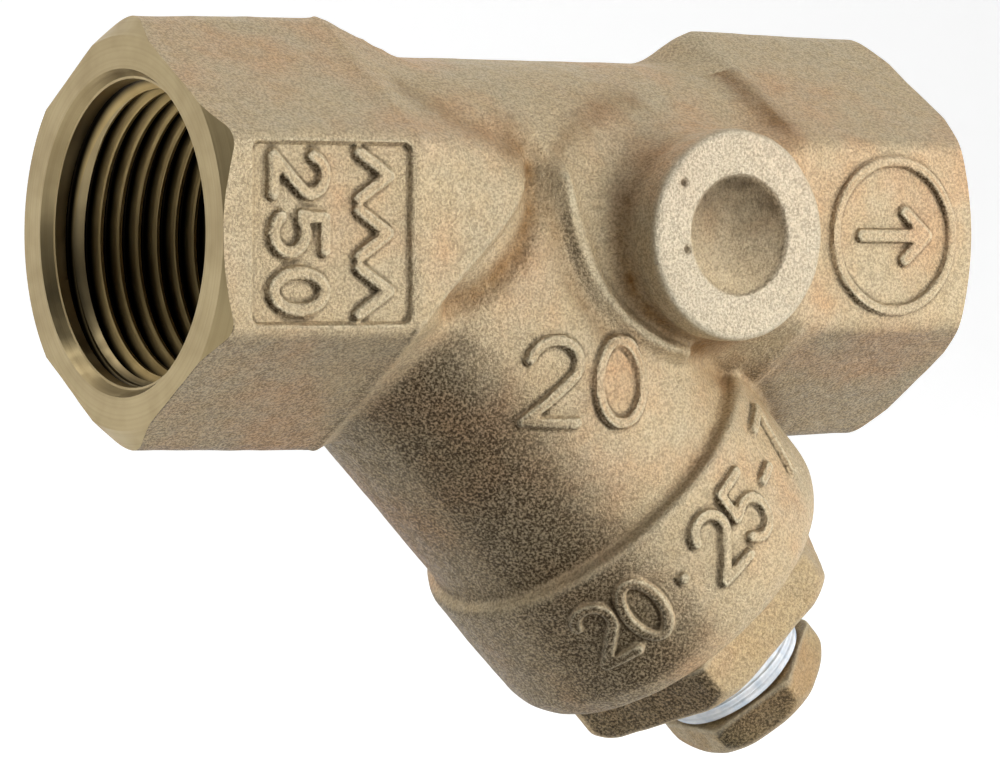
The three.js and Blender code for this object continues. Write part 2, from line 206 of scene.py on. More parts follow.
# ------------------------------------ meshes
def mesh_object(name, points, faces, *materials):
    faces = np.asarray(faces)
    mesh = bpy.data.meshes.new(name)
    mesh.vertices.add(len(points))
    mesh.vertices.foreach_set("co", np.asarray(points, np.float32).ravel())
    count, sides = faces.shape
    mesh.loops.add(count * sides)
    mesh.loops.foreach_set("vertex_index", faces.ravel().astype(np.int32))
    mesh.polygons.add(count)
    mesh.polygons.foreach_set("loop_start", np.arange(0, count * sides, sides, dtype=np.int32))
    mesh.update(calc_edges=True)
    mesh.validate()
    for material in materials:
        mesh.materials.append(material)
    obj = bpy.data.objects.new(name, mesh)
    bpy.context.scene.collection.objects.link(obj)
    if volume(mesh) < 0:
        mesh.flip_normals()
    return obj


def volume(mesh):
    mesh.calc_loop_triangles()
    tris = np.empty(len(mesh.loop_triangles) * 3, np.int32)
    mesh.loop_triangles.foreach_get("vertices", tris)
    co = positions(mesh)
    a, b, c = (co[tris[i::3]] for i in range(3))
    return float(np.einsum("ij,ij->i", a, np.cross(b, c)).sum()) / 6


def positions(mesh):
    co = np.empty(len(mesh.vertices) * 3, np.float32)
    mesh.vertices.foreach_get("co", co)
    return co.reshape(-1, 3)


def placed(points, place):
    """Points given about local Y, moved by a (radial, axis, side, origin) placing."""
    radial, axis, side, origin = (np.array(v, float) for v in place)
    p = np.asarray(points, float)
    return (origin + p[:, :1] * radial + p[:, 1:2] * axis + p[:, 2:] * side) * MM


LEG = (LEG_UP, LEG_DIR, (0, 1, 0), (LEG_X, 0, 0))
OUTLET = ((0, 0, 1), (1, 0, 0), (0, 1, 0), (0, 0, 0))
INLET = ((0, 0, 1), (-1, 0, 0), (0, -1, 0), (0, 0, 0))


def turned(name, profile, place, material, steps=160, wobble=None):
    """A turned solid.  The [radius, along] profile starts and ends on the axis, or closes."""
    ring = profile[0][0] > 0
    inner = profile if ring else profile[1:-1]
    n = len(inner)
    angles = np.arange(steps) * TAU / steps
    c, s = np.cos(angles), np.sin(angles)
    r = np.array([p[0] for p in inner])
    h = np.array([p[1] for p in inner])
    rr = np.repeat(r[None], steps, 0)
    hh = np.repeat(h[None], steps, 0)
    if wobble:
        rr, hh = wobble(angles[:, None], rr, hh)
    points = np.stack([rr * c[:, None], hh, -rr * s[:, None]], -1).reshape(-1, 3)
    faces = []
    for i in range(steps):
        j = (i + 1) % steps
        for k in range(n if ring else n - 1):
            m = (k + 1) % n
            faces += [(i * n + k, j * n + k, j * n + m), (i * n + k, j * n + m, i * n + m)]
    if not ring:
        low, high = len(points), len(points) + 1
        points = np.vstack([points, [[0, profile[0][1], 0], [0, profile[-1][1], 0]]])
        for i in range(steps):
            j = (i + 1) % steps
            faces += [(low, j * n, i * n), (high, i * n + n - 1, j * n + n - 1)]
    return mesh_object(name, placed(points, place), faces, material)


def threaded(name, tooth, pitch, phase, start, end, place, material, taper=0.0, steps=96):
    """A rod threaded right-hand: `tooth` is one pitch of its outline as [radius, along]."""
    n = len(tooth)
    first = math.floor((start - phase) / pitch) - 1
    m = (math.ceil((end - start) / pitch) + 3) * n
    points = []
    for i in range(steps):
        a = i * TAU / steps
        for k in range(m):
            r, h = tooth[k % n]
            along = phase + pitch * (first + k // n + i / steps) + h
            r += taper * (along - end)
            points.append((r * math.cos(a), along, -r * math.sin(a)))

    def at(i, k):
        return i * m + k if i < steps else k + n

    faces = []
    for i in range(steps):
        for k in range((m if i < steps - 1 else m - n) - 1):
            a, b, c, d = at(i, k), at(i + 1, k), at(i + 1, k + 1), at(i, k + 1)
            faces += [(a, b, c), (a, c, d)]
    bottom = [at(i, 0) for i in range(steps)] + [at(0, k) for k in range(n, 0, -1)]
    top = [at(i, m - 1) for i in range(steps)] + [at(steps - 1, m - 2 - j) for j in range(n)]
    low = len(points)
    points += [(0, phase + pitch * first, 0), (0, phase + pitch * (first + m / n), 0)]
    for j, v in enumerate(bottom):
        faces.append((low, bottom[(j + 1) % len(bottom)], v))
    for j, v in enumerate(top):
        faces.append((low + 1, v, top[(j + 1) % len(top)]))
    return mesh_object(name, placed(points, place), faces, material)


def boolean(obj, other, operation):
    """Applies one boolean to obj and removes the other solid."""
    mod = obj.modifiers.new("cut", "BOOLEAN")
    mod.operation, mod.solver, mod.object = operation, "MANIFOLD", other
    mod.material_mode = "TRANSFER"
    graph = bpy.context.evaluated_depsgraph_get()
    mesh = bpy.data.meshes.new_from_object(obj.evaluated_get(graph), depsgraph=graph)
    obj.modifiers.clear()
    old = obj.data
    obj.data = mesh
    bpy.data.meshes.remove(old)
    bpy.data.objects.remove(other)
    return obj


def smooth(obj, sharp_degrees):
    obj.data.shade_smooth()
    obj.data.set_sharp_from_angle(angle=math.radians(sharp_degrees))


def paint(obj, name, values):
    layer = obj.data.attributes.new(name, "FLOAT", "POINT")
    layer.data.foreach_set("value", np.asarray(values, np.float32))


# ------------------------------------ cast marks
def arc(cx, cy, rx, ry, start, end, count=14):
    a = np.radians(np.linspace(start, end, count))
    return [(cx + rx * math.cos(t), cy + ry * math.sin(t)) for t in a]


def glyph(key):
    """Strokes of a plain numeral or mark, one high and centred on its middle."""
    shapes = {
        "0": [arc(0, 0, 0.27, 0.5, 90, 450, 28)],
        "2": [arc(0, 0.22, 0.27, 0.28, 170, -35) + [(-0.27, -0.5), (0.28, -0.5)]],
        "5": [[(0.25, 0.5), (-0.22, 0.5), (-0.25, 0.04)] + arc(0, -0.19, 0.28, 0.31, 125, -150)],
        "7": [[(-0.26, 0.5), (0.27, 0.5), (-0.08, -0.5)]],
        "-": [[(-0.16, 0), (0.16, 0)]],
        ".": [[(-0.01, 0), (0.01, 0)]],
        "^": [[(-0.36, -0.26), (0, 0.3), (0.36, -0.26)]],
    }
    return shapes[key]


def stroke_distance(u, v, lines):
    """Distance from points (u, v) to the nearest of some polylines."""
    best = np.full(np.broadcast(u, v).shape, 99, np.float32)
    for line in lines:
        for (ax, ay), (bx, by) in zip(line, line[1:]):
            ex, ey = bx - ax, by - ay
            t = np.clip(((u - ax) * ex + (v - ay) * ey) / (ex * ex + ey * ey + 1e-9), 0, 1)
            best = np.minimum(best, np.hypot(u - ax - t * ex, v - ay - t * ey))
    return best


def mark_lines(key, cx, cy, height, turn=0.0, stretch=1.0):
    c, s = math.cos(turn), math.sin(turn)
    lines = []
    for line in glyph(key):
        scaled = [(x * height * stretch, y * height) for x, y in line]
        lines.append([(cx + x * c - y * s, cy + x * s + y * c) for x, y in scaled])
    return lines


def raised(distance, width, flank=0.25):
    """A rounded bead's height, from 1 on its line to 0 outside it."""
    t = np.clip((width / 2 + flank - distance) / flank, 0, 1)
    return t * t * (3 - 2 * t)


PANEL_X, PANEL_HALF = -28.35, (7.6, 7.3)
PANEL_CORNER_R, PANEL_FLANK, PANEL_DEPTH = 0.6, 0.35, 0.5
PANEL_MARK_PITCH, PANEL_MARK_WIDTH = 4.7, 0.85
NUMBER_ROW, NUMBER_HEIGHT, CHEVRON_ROW, CHEVRON_HEIGHT = -3.2, 4.9, 3.9, 5.2
EMBLEM_X, EMBLEM_R = 29.8, 6.55
EMBLEM_RELIEF, RING_WIDTH, ARROW_WIDTH = 0.45, 0.7, 0.95


def panel_relief(x, z):
    """Sunk panel with raised marks on the inlet's flat; the marks read down the body."""
    corner = PANEL_CORNER_R
    dx = np.abs(x - PANEL_X) - (PANEL_HALF[0] - corner)
    dz = np.abs(z) - (PANEL_HALF[1] - corner)
    edge = np.hypot(np.maximum(dx, 0), np.maximum(dz, 0)) + np.minimum(np.maximum(dx, dz), 0) - corner
    sunk = np.clip(0.5 - edge / PANEL_FLANK, 0, 1)
    sunk = sunk * sunk * (3 - 2 * sunk)
    lines = []
    for i, key in enumerate("250"):
        lines += mark_lines(key, PANEL_MARK_PITCH * (i - 1), NUMBER_ROW, NUMBER_HEIGHT, stretch=1.15)
    for i in range(3):
        lines += mark_lines("^", PANEL_MARK_PITCH * (i - 1), CHEVRON_ROW, CHEVRON_HEIGHT)
    marks = raised(stroke_distance(-z, x - PANEL_X, lines), PANEL_MARK_WIDTH)
    return PANEL_DEPTH * (marks - sunk)


def emblem_relief(x, z):
    """Raised ring round a flow arrow on the outlet's flat."""
    u, v = -z, x - EMBLEM_X
    circle = np.abs(np.hypot(u, v) - EMBLEM_R)
    arrow = [[(0, -3.6), (0, 3.6)], [(-2.1, 1.2), (0, 3.7), (2.1, 1.2)]]
    arrow = raised(stroke_distance(u, v, arrow), ARROW_WIDTH)
    return EMBLEM_RELIEF * np.maximum(raised(circle, RING_WIDTH), arrow)


# ------------------------------------ the body casting
def body_field(field):
    x, y, z = field.x, field.y, field.z
    ay, az, ax = np.abs(y), np.abs(z), np.abs(x)
    along, above = leg_frame(x, z)
    leg_rho = np.hypot(above, y)
    run_rho = np.hypot(y, z)

    slope = ay * math.sin(HEX_SLOPE) + az * math.cos(HEX_SLOPE) - HEX_SLOPE_R
    trimmed = az - HEX_TOP - HEX_DRAFT * (HALF - ax)
    hexagon = both(both(ay - HEX_FLAT, slope, HEX_CORNER_K), trimmed, HEX_TRIM_K)
    t = np.maximum(HEX_INNER - ax, 0)
    ends = hexagon + HEX_CLOSE[0] * t + HEX_CLOSE[1] * t * t
    tube = np.maximum(run_rho - RUN_R, ax - HEX_INNER)

    barrel = np.maximum(leg_rho - LEG_R, np.maximum(BARREL_START - along, along - BARREL_END))
    end = np.clip(1 - (LEG_END - along) / COLLAR_END_ROUND, 0, 1)
    collar = both(leg_rho - COLLAR_R + COLLAR_END_DROP * end * end, along - LEG_END, COLLAR_EDGE_K)
    collar = both(collar, COLLAR_START - along, COLLAR_EDGE_K)

    f = union(tube, ends, HEX_FILLET)
    f = union(f, inlet_swell(field), SWELL_FILLET)
    f = union(f, barrel, LEG_FILLET)
    f = union(f, collar, COLLAR_FILLET)

    h = -y
    rb = np.hypot(x - BOSS_X, z)
    reach = -BOSS_Y
    stem = both(rb - BOSS_R + BOSS_STEP, np.maximum(h - reach, BOSS_FOOT - h), 0.9)
    f = union(f, stem, BOSS_FILLET)
    disc = both(rb - BOSS_R, np.maximum(h - reach, BOSS_DISC - h), 1.0)
    f = union(f, disc, 0.5)
    dimple = DIMPLE_STEP * np.clip((DIMPLE_R - rb) / 0.45, 0, 1)
    dimple = dimple + DIMPLE_CONE * np.clip(1 - rb / DIMPLE_R, 0, 1)
    f = both(f, h - reach + dimple, 0.3)
    for pit_x, pit_z in BOSS_PITS:
        away = np.sqrt((x - BOSS_X - pit_x) ** 2 + (z - pit_z) ** 2 + (h - reach) ** 2)
        f = both(f, PIT_R - away, 0.2)

    bore = run_rho - BORE_R
    galleries = np.minimum(np.maximum(bore, along - SEAT_HIGH), np.maximum(bore, SEAT_LOW - along))
    seat = np.maximum(leg_rho - SEAT_R, np.maximum(-SEAT_REACH - along, along - SEAT_REACH))
    chamber = np.maximum(leg_rho - CHAMBER_R, np.maximum(SEAT_LOW - along, along - LEG_END - 2))
    inside = np.minimum(galleries, np.minimum(seat, chamber))
    return both(f, -inside, 0.5)


def inlet_swell(field):
    """The hull from the inlet's hexagon to a ring on the leg, as its planes' distances."""
    top = HEX_TOP + HEX_DRAFT * (HALF - HEX_INNER)
    half = (HEX_SLOPE_R - top * math.cos(HEX_SLOPE)) / math.sin(HEX_SLOPE)
    flat = (HEX_SLOPE_R - HEX_FLAT * math.sin(HEX_SLOPE)) / math.cos(HEX_SLOPE)
    points = [(-HEX_INNER, sy * y, sz * z) for sy in (-1, 1) for sz in (-1, 1)
              for y, z in ((HEX_FLAT, flat), (half, top))]
    angles = np.linspace(0, TAU, 49)[:-1]
    ring = [(SHOULDER_R * math.cos(a), 0.5, SHOULDER_R * math.sin(a)) for a in angles]
    points += [tuple(v / MM) for v in placed(ring, LEG)]
    shape = bmesh.new()
    for point in points:
        shape.verts.new(point)
    bmesh.ops.convex_hull(shape, input=shape.verts)
    shape.normal_update()
    planes = {tuple(round(v, 3) for v in (*face.normal, face.normal.dot(face.verts[0].co)))
              for face in shape.faces}
    shape.free()
    step = 0.7
    coarse = Field(field.low - step, field.low + np.array(field.shape) * field.step + step, step)
    f = np.full(coarse.shape, -99, np.float32)
    for a, b, c, d in sorted(planes):
        np.maximum(f, a * coarse.x + b * coarse.y + c * coarse.z - d, out=f)
    slope = coarse.z - SWELL_TOP + SWELL_FALL * (coarse.x + HEX_INNER)
    return field.refine(coarse, np.maximum(f, slope * math.cos(math.atan(SWELL_FALL))))


# valleys and ridges where the casting's surfaces meet, as (x, z) on its front
SWELL_VALLEY = [(-17, 12), (-12.5, 9), (-5.5, 6.5)]
LEG_CREASE = arc(LEG_X - 6.5, 5.5, 12.2, 12, 0, -72, 8)
BOSS_VALLEY = arc(BOSS_X, 6, 17, 18.2, 186, 230, 6)
BOSS_RIDGE = arc(BOSS_X, 6, 15, 16.4, 184, 262, 9)
BOSS_ARC = arc(BOSS_X, 2, 17, 10, 160, 105, 6)
OUTLET_FILLET = [(18.4, 15.4), (19.6, 9.8)]
STAIN_SPOT = (-8.7, 7.5)
# each line with its height or depth, or its strength, and its width
RELIEF_LINES = ((SWELL_VALLEY, -0.2, 1.2), (LEG_CREASE, -0.75, 1.25), (BOSS_VALLEY, -0.3, 1.3),
                (BOSS_RIDGE, 0.8, 0.9))
STAIN_LINES = ((SWELL_VALLEY, 0.4, 1.2), (LEG_CREASE, 0.85, 1.15), (BOSS_VALLEY, 0.5, 1.2),
               (BOSS_ARC, 0.5, 1.2), (OUTLET_FILLET, 0.8, 1.4))


def add_relief(field, f):
    """Moves the surface along its normal for the cast marks, the valleys and the ridge."""
    x, y, z = field.x, field.y, field.z
    front = np.clip((-HEX_FLAT + 3 - y) / 1.0, 0, 1)
    flat = panel_relief(x, z) * (x < -12) + emblem_relief(x, z) * (x > 20)
    f = f - flat * front

    i, j, k = np.nonzero((np.abs(f) < 1.5) & (y < -2))
    along, above = leg_frame(x[i, 0, 0], z[0, 0, k])
    around = np.arctan2(above, -y[0, j, 0])
    size = []
    for key, side in (("2", -0.5), ("0", 0.5)):
        cu = -0.07 * LEG_R + side * LEG_MARK_PITCH * LEG_UP[0]
        cv = -16.2 + side * LEG_MARK_PITCH * LEG_DIR[2]
        size += mark_lines(key, cu, cv, LEG_MARK_HEIGHT, -math.atan2(LEG_UP[2], LEG_UP[0]), 1.25)
    band = []
    for place, key in enumerate("20.25-7"):
        turn = -0.86 + COLLAR_MARK_PITCH * place
        band += mark_lines(key, turn * COLLAR_R, -35.2, COLLAR_MARK_HEIGHT)
    on_leg = (np.hypot(above, y[0, j, 0]) > CHAMBER_R + 1.5) & (along > 5)
    height = np.where(along < COLLAR_START - 1.4,
                      raised(stroke_distance(around * LEG_R, -along, size), MARK_WIDTH),
                      raised(stroke_distance(around * COLLAR_R, -along, band), MARK_WIDTH))
    f[i, j, k] -= MARK_RELIEF * height * on_leg
    for line, height, width in RELIEF_LINES:
        away = stroke_distance(x[i, 0, 0], z[0, 0, k], [line])
        below_boss = np.clip(16.6 + y[0, j, 0], 0, 1) * (y[0, j, 0] < -7)
        f[i, j, k] -= height * np.exp(-(away / width) ** 2) * below_boss
    return f


def port_cutters(place, tag):
    """The turned end face, its bevel and mouth, and the taper thread behind them."""
    start, inner = HALF - PORT_START, HALF - PORT_DEPTH
    mouth = HALF - PORT_MOUTH
    outline = [(0, mouth - 0.8), (12.0, mouth - 0.8), (12.7, mouth), (12.78, HALF - 1.0),
               (12.98, HALF - 0.95), (13.58, HALF), (HEX_FLAT, HALF), (18.6, HALF - 1.55),
               (30, HALF - 1.55), (30, HALF + 4), (0, HALF + 4)]
    face = turned("face_" + tag, outline, place, MATERIALS["machined"], 192)
    crest, root = PORT_CREST_R, PORT_ROOT_R
    half = PORT_PITCH / 2
    tooth = [(crest, -0.13), (crest + 0.02, 0), (crest, 0.13), (root - 0.06, half - 0.12), (root, half),
             (root - 0.06, half + 0.12)]
    thread = MATERIALS["thread"]
    rod = threaded("thread_" + tag, tooth, PORT_PITCH, start, inner, start, place, thread, TAPER, 120)
    outline = [(0, inner - 1), (BORE_R + 0.4, inner - 1), (root, inner + 0.6), (root + 1, start),
               (0, start)]
    envelope = turned("envelope_" + tag, outline, place, thread, 120)
    return [face, boolean(rod, envelope, "INTERSECT")]


def leg_cutters():
    """The cap's thread, the gasket's ledge and the spot-faced seat."""
    crest, root = LEG_CREST_R, LEG_ROOT_R
    tooth = [(crest, -0.18), (crest, 0.18), (root, CAP_PITCH / 2 - 0.1), (root, CAP_PITCH / 2 + 0.1)]
    thread, machined = MATERIALS["thread"], MATERIALS["machined"]
    rod = threaded("leg_thread", tooth, CAP_PITCH, LEG_END, SPIGOT_START, LEG_END + 0.5, LEG, thread)
    outline = [(0, 37), (14, 37), (14, LEG_END + 0.2), (0, LEG_END + 0.2)]
    trim = turned("leg_trim", outline, LEG, thread, 96)
    outline = [(0, LEDGE), (13.1, LEDGE), (13.1, 37.4), (12, 37.6), (0, 37.6)]
    counter = turned("leg_counter", outline, LEG, machined, 120)
    outline = [(0, LEG_END - 1), (crest, LEG_END - 1), (13.2, LEG_END - 0.04), (15.2, LEG_END - 0.04),
               (15.6, LEG_END + 3), (0, LEG_END + 3)]
    face = turned("leg_face", outline, LEG, machined, 160)
    outline = [(0, SEAT_LOW - 0.6), (SEAT_R + 0.3, SEAT_LOW - 0.6), (SEAT_R + 0.9, SEAT_LOW + 0.1),
               (CHAMBER_R - 0.2, SEAT_LOW + 0.1), (CHAMBER_R - 0.2, 6), (0, 6)]
    seat = turned("leg_seat", outline, LEG, machined, 120)
    return [boolean(rod, trim, "INTERSECT"), counter, face, seat]


def make_body():
    step = 0.2
    field = Field((-HALF - 1.5, -20.6, -44.5), (HALF + 1.5, 17.8, 19.6), step)
    plain_f = body_field(field)
    f = add_relief(field, plain_f.copy())
    f += field.noise(4.5, 3) * 0.06 + field.noise(1.7, 5) * 0.03
    body = field.mesh("body_casting", f, MATERIALS["cast"])
    for cutter in (*port_cutters(INLET, "in"), *port_cutters(OUTLET, "out"), *leg_cutters()):
        boolean(body, cutter, "DIFFERENCE")
    smooth(body, 30)
    co = positions(body.data) / MM
    paint(body, "crevice", hollowness(field, f, co, 0.5))
    paint(body, "hollow", hollowness(field, plain_f, co, 1.3))
    paint(body, "deep", hollowness(field, plain_f, co, 3.2) - 0.3 * ridged(co))
    rb, reach = np.hypot(co[:, 0] - BOSS_X, co[:, 2]), -co[:, 1] + BOSS_Y
    off_boss = np.clip((rb - 12.5) / 2.5, 0, 1) + np.clip(-(reach + 12) / 2, 0, 1)
    # painted shade on faces turned down and to the front left, faint on the boss
    paint(body, "painted_shade", painted_shade_by_facing(body.data) * np.clip(off_boss, 0.15, 1))
    inside = np.clip((DIMPLE_R - rb) / 0.5, 0, 1) * (reach > -2)
    # painted shade in the boss's dimple, darker towards its top and the outlet side
    paint(body, "dimple", inside * np.clip(0.55 + 0.1 * co[:, 2] + 0.04 * (co[:, 0] - BOSS_X), 0.1, 0.95))
    paint(body, "pale", np.clip(reach / 0.3 + 1.3, 0, 1) * (rb < BOSS_R + 0.5) * (1 - inside))
    # painted shade: the ports' thread valleys, darker from crest to root
    paint(body, "thread_valley_shade", port_groove(co))
    paint(body, "stain", stained(co))
    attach(body, "body")
    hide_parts("strainer_body")


def painted_shade_by_facing(mesh, underside_shade=0.8):
    """Painted shade: how far each vertex faces down and to the front left, the faces painted darkest."""
    normals = np.empty(len(mesh.vertices) * 3, np.float32)
    mesh.vertex_normals.foreach_get("vector", normals)
    normals = normals.reshape(-1, 3)
    band = np.clip((normals @ PAINTED_SHADE_SIDE - 0.8) / 0.2, 0, 1)
    under = np.clip((normals @ SHADED_UNDER_SIDE - 0.25) / 0.6, 0, 1)
    return np.maximum(band * band * (3 - 2 * band), underside_shade * under * under * (3 - 2 * under))


def stained(points):
    """Where core sand and oil have left golden brown: valleys and fillets of the casting."""
    x, h, z = points[:, 0], -points[:, 1], points[:, 2]
    marks = [strength * np.exp(-(stroke_distance(x, z, [line]) / width) ** 2)
             for line, strength, width in STAIN_LINES]
    rb = np.maximum(np.hypot(x - BOSS_X, z), 1)
    beside = np.clip((11.3 - rb) / 1.8, 0, 1) * np.clip((17.2 - h) / 1.5, 0, 1)
    leftward = np.clip(0.6 - ((x - BOSS_X) * 0.6 + z * 0.8) / rb, 0, 1)
    spot = np.hypot(x - STAIN_SPOT[0], z - STAIN_SPOT[1])
    marks += [0.95 * beside * leftward, 0.85 * np.exp(-(spot / 2.0) ** 2)]
    return np.max(marks, axis=0) * (h > 6) * (1 - 0.9 * ridged(points))


def ridged(points):
    """How near each point is to the crest of the ridge beside the boss."""
    away = stroke_distance(points[:, 0], points[:, 2], [BOSS_RIDGE])
    return np.exp(-away ** 2) * (points[:, 1] < -8)


def port_groove(points):
    """How deep in a pipe thread's valley each point is, 0 at a crest and 1 at a root."""
    depth = HALF - PORT_START - np.abs(points[:, 0])
    radius = np.hypot(points[:, 1], points[:, 2]) + TAPER * depth
    share = np.clip((radius - PORT_CREST_R) / (PORT_ROOT_R - PORT_CREST_R), 0, 1)
    return share * (depth > 0) * (depth < PORT_DEPTH)


def hollowness(field, values, points, reach):
    """How concave the surface is at each point: above 0 in a fillet, below 0 on an edge."""
    total = 0
    for axis in range(3):
        for side in (-1, 1):
            offset = np.zeros(3)
            offset[axis] = side * reach
            total = total + field.sample(values, points + offset)
    return (field.sample(values, points) - total / 6) / reach


# ------------------------------------ cap, plug and tape
def hex_field(rho_x, rho_y, flat, turn, k):
    """A hexagon's distance across (rho_x, rho_y), its corners at `turn`."""
    out = None
    for i in range(3):
        a = turn + math.radians(30 + 60 * i)
        d = np.abs(rho_x * math.cos(a) + rho_y * math.sin(a)) - flat
        out = d if out is None else both(out, d, k)
    return out


def leg_grid(half, start, end, step):
    """A field whose own axes are the leg's: x above it, y along it, z to the side."""
    return Field((-half, start, -half), (half, end, half), step)


def leg_mesh(field, name, values, material):
    obj = field.mesh(name, values, material)
    co = positions(obj.data) / MM
    obj.data.vertices.foreach_set("co", placed(co, LEG).astype(np.float32).ravel())
    obj.data.update()
    if volume(obj.data) < 0:
        obj.data.flip_normals()
    return obj


def paint_hollow(obj, field, values):
    co = positions(obj.data) / MM - np.array([LEG_X, 0, 0])
    local = np.stack([co @ LEG_UP, co @ LEG_DIR, co[:, 1]], 1)
    paint(obj, "crevice", hollowness(field, values, local, 0.3))
    paint(obj, "hollow", hollowness(field, values, local, 0.9))
    paint(obj, "deep", hollowness(field, values, local, 2.0))
    # painted shade on faces turned down and to the front left, its underside share faint
    paint(obj, "painted_shade", painted_shade_by_facing(obj.data, 0.2))


def make_cap():
    field = leg_grid(15.6, 42.5, 49.6, 0.16)
    x, y, z = field.x, field.y, field.z
    rho = np.hypot(x, z)
    f = hex_field(x, z, CAP_FLAT, CAP_TURN, 0.8)
    dome = rho - CAP_CORNER_R + 0.6 * np.maximum(y - CAP_TOP + 1.5, 0) ** 1.2
    f = both(f, dome, 0.3)
    f = both(f, y - CAP_TOP, 0.5)
    f = both(f, CAP_START - y, 0.3)
    f = f + field.noise(3, 11) * 0.06 + field.noise(1.2, 12) * 0.03
    cap = leg_mesh(field, "cap_casting", f, MATERIALS["cap"])
    thread, machined = MATERIALS["thread"], MATERIALS["machined"]
    crest, root = SPIGOT_CREST_R, SPIGOT_ROOT_R
    tooth = [(root, -0.32), (root, 0.32), (crest, CAP_PITCH / 2 - 0.08), (crest, CAP_PITCH / 2 + 0.08)]
    spigot = threaded("spigot", tooth, CAP_PITCH, LEG_END, 36, LEG_END + 2, LEG, thread)
    outline = [(0, SPIGOT_START), (root - 0.05, SPIGOT_START), (crest + 0.05, SPIGOT_START + 0.9),
               (crest + 0.05, 43), (root - 0.1, 43.8), (root - 0.1, LEG_END + 1), (0, LEG_END + 1)]
    trim = turned("spigot_trim", outline, LEG, machined, 96)
    boolean(cap, boolean(spigot, trim, "INTERSECT"), "UNION")
    pocket = turned("pocket", [(0, 36), (11, 36), (10.6, 37.3), (10.6, 42), (0, 42)], LEG, machined, 128)
    boolean(cap, pocket, "DIFFERENCE")
    crest, root = HOLE_CREST_R, HOLE_ROOT_R
    tooth = [(crest, -0.14), (crest, 0.14), (root, PLUG_PITCH / 2 - 0.06), (root, PLUG_PITCH / 2 + 0.06)]
    hole = threaded("cap_hole", tooth, PLUG_PITCH, CAP_TOP, 41, CAP_TOP + 1, LEG, thread)
    outline = [(0, 41), (8, 41), (8, CAP_TOP + 1), (0, CAP_TOP + 1)]
    trim = turned("hole_trim", outline, LEG, thread, 96)
    boolean(cap, boolean(hole, trim, "INTERSECT"), "DIFFERENCE")
    outline = [(0, CAP_TOP - 0.9), (6.4, CAP_TOP - 0.9), (HOLE_SINK_R, CAP_TOP + 0.1),
               (HOLE_SINK_R, CAP_TOP + 1), (0, CAP_TOP + 1)]
    boolean(cap, turned("hole_sink", outline, LEG, machined, 96), "DIFFERENCE")
    smooth(cap, 42)
    paint_hollow(cap, field, f)
    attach(cap, "cap")
    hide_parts("retainer_cap")


def make_plug():
    field = leg_grid(9.4, 53.4, 59.2, 0.11)
    x, y, z = field.x, field.y, field.z
    rho = np.hypot(x, z)
    f = hex_field(x, z, HEAD_FLAT, HEAD_TURN, 0.35)
    dome = rho - HEAD_CORNER_R + 0.28 * np.maximum(y - HEAD_END + 2.1, 0) ** 2
    base = rho - HEAD_CORNER_R + 0.5 * np.maximum(HEAD_START + 0.3 - y, 0)
    f = both(both(f, dome, 0.4), base, 0.3)
    f = both(f, y - HEAD_END, 0.7)
    f = both(f, HEAD_START - y, 0.25)
    f = f + field.noise(2, 21) * 0.04 + field.noise(0.8, 22) * 0.02
    plug = leg_mesh(field, "plug_head", f, MATERIALS["plug"])
    thread, machined = MATERIALS["thread"], MATERIALS["machined"]
    crest, root, start = PLUG_CREST_R, PLUG_ROOT_R, PLUG_START
    tooth = [(root, -0.3), (root, 0.3), (crest, PLUG_PITCH / 2 - 0.06), (crest, PLUG_PITCH / 2 + 0.06)]
    rod = threaded("plug_thread", tooth, PLUG_PITCH, CAP_TOP, 42, 50, LEG, thread)
    outline = [(0, start), (root - 0.15, start), (crest, start + 0.8), (crest, 48), (root - 0.1, 48.6),
               (0, 48.6)]
    boolean(rod, turned("plug_trim", outline, LEG, machined, 96), "INTERSECT")
    boolean(plug, rod, "UNION")
    outline = [(0, 48.2), (NECK_R, 48.2), (NECK_R, HEAD_START + 1), (0, HEAD_START + 1)]
    boolean(plug, turned("plug_neck", outline, LEG, machined, 96), "UNION")
    smooth(plug, 42)
    paint_hollow(plug, field, f)
    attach(plug, "plug")
    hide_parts("drain_plug")


def make_tape():
    """White tape wound in overlapping turns, a little ragged at its edges."""
    rng = np.random.default_rng(8)
    low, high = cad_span("plug_seal_tape")
    rows = 40
    ripple = rng.normal(0, 0.035, rows)
    profile = [(TAPE_INNER_R, low)]
    for i in range(rows):
        h = low + (high - low) * i / (rows - 1)
        wound = 0.06 * (1 - (i * TAPE_TURNS / rows) % 1)
        profile.append((TAPE_R + wound + ripple[i], h))
    profile.append((TAPE_INNER_R, high))

    def wobble(a, r, h):
        wave = 0.03 * np.sin(3 * a + 1.1 * h) + 0.025 * np.sin(7 * a - 2.3 * h)
        return np.where(r > TAPE_INNER_R + 0.1, r + wave, r), h

    tape = turned("seal_tape", profile, LEG, MATERIALS["tape"], 160, wobble)
    smooth(tape, 60)
    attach(tape, "seal")
    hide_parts("plug_seal_tape")


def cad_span(node):
    """Where a node starts and ends along the leg, from its mesh."""
    co = positions(frame["nodes"][node].data) / MM
    world = np.array(frame["nodes"][node].matrix_world)
    co = co @ world[:3, :3].T + world[:3, 3] / MM
    along = (co[:, 0] - LEG_X) * LEG_DIR[0] + co[:, 2] * LEG_DIR[2]
    return float(along.min()), float(along.max())


# ------------------------------------ gasket and screen
def make_gasket():
    low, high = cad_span("cap_gasket")
    r = 0.18
    inner, outer = GASKET_INNER_R, GASKET_R
    outline = [(inner, low + r), (inner + r, low), (outer - r, low), (outer, low + r), (outer, high - r),
               (outer - r, high), (inner + r, high), (inner, high - r)]
    gasket = turned("gasket_ring", outline, LEG, MATERIALS["gasket"], 160)
    smooth(gasket, 60)
    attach(gasket, "screen_carriage")
    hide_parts("cap_gasket")


